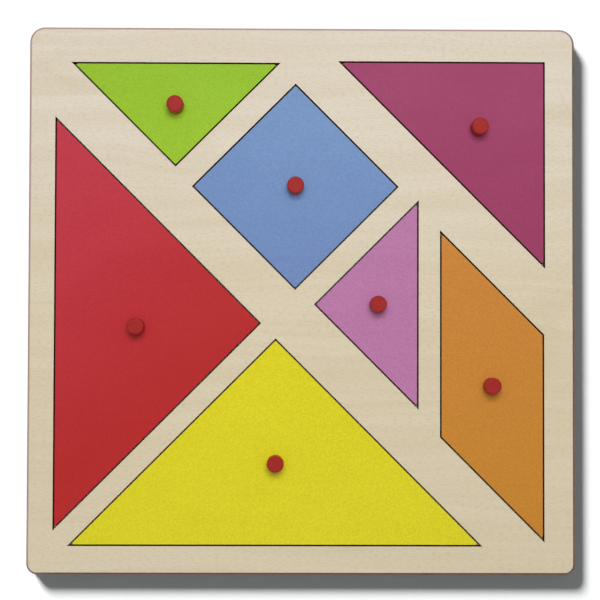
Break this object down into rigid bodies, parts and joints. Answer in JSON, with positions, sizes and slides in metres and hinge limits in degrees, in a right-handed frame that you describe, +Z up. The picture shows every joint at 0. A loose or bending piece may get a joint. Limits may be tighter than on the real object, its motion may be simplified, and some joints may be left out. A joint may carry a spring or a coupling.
{
  "type": "tangram puzzle",
  "caption": "Square plywood tray with fitted recesses for the flat painted pieces of a tangram, each piece lifted out by a round peg.",
  "frame": {"origin": "middle of the tray's underside, on the surface that it lies on", "axes": "+Z up, out of the face that carries the pieces; +X to the right and +Y towards the top edge, as the board is seen in use"},
  "size_m": [0.3, 0.3, 0.0194],
  "materials": {
    "base_plywood": "bare birch plywood, sanded",
    "frame_plywood": "birch plywood, clear matt lacquer, browned cut edges",
    "red_paint": "plywood with a satin coat of red paint on its face",
    "yellow_paint": "plywood with a satin coat of yellow paint on its face",
    "purple_paint": "plywood with a satin coat of purple paint on its face",
    "green_paint": "plywood with a satin coat of green paint on its face",
    "pink_paint": "plywood with a satin coat of pink paint on its face",
    "blue_paint": "plywood with a satin coat of blue paint on its face",
    "orange_paint": "plywood with a satin coat of orange paint on its face",
    "peg_red": "turned wood, red lacquer"
  },
  "bodies": {
    "tray": {"base_board": "base_plywood", "frame_board": "frame_plywood"},
    "red_piece": {"red_large_triangle": "red_paint", "red_large_triangle_peg": "peg_red"},
    "yellow_piece": {"yellow_large_triangle": "yellow_paint", "yellow_large_triangle_peg": "peg_red"},
    "purple_piece": {"purple_medium_triangle": "purple_paint", "purple_medium_triangle_peg": "peg_red"},
    "green_piece": {"green_small_triangle": "green_paint", "green_small_triangle_peg": "peg_red"},
    "pink_piece": {"pink_small_triangle": "pink_paint", "pink_small_triangle_peg": "peg_red"},
    "blue_piece": {"blue_square": "blue_paint", "blue_square_peg": "peg_red"},
    "orange_piece": {"orange_parallelogram": "orange_paint", "orange_parallelogram_peg": "peg_red"}
  },
  "joints": [
    {"name": "red_piece_lift", "type": "slide", "parent": "tray", "child": "red_piece", "axis": [0, 0, 1], "range_m": [0, 0.03]},
    {"name": "yellow_piece_lift", "type": "slide", "parent": "tray", "child": "yellow_piece", "axis": [0, 0, 1], "range_m": [0, 0.03]},
    {"name": "purple_piece_lift", "type": "slide", "parent": "tray", "child": "purple_piece", "axis": [0, 0, 1], "range_m": [0, 0.03]},
    {"name": "green_piece_lift", "type": "slide", "parent": "tray", "child": "green_piece", "axis": [0, 0, 1], "range_m": [0, 0.03]},
    {"name": "pink_piece_lift", "type": "slide", "parent": "tray", "child": "pink_piece", "axis": [0, 0, 1], "range_m": [0, 0.03]},
    {"name": "blue_piece_lift", "type": "slide", "parent": "tray", "child": "blue_piece", "axis": [0, 0, 1], "range_m": [0, 0.03]},
    {"name": "orange_piece_lift", "type": "slide", "parent": "tray", "child": "orange_piece", "axis": [0, 0, 1], "range_m": [0, 0.03]}
  ]
}
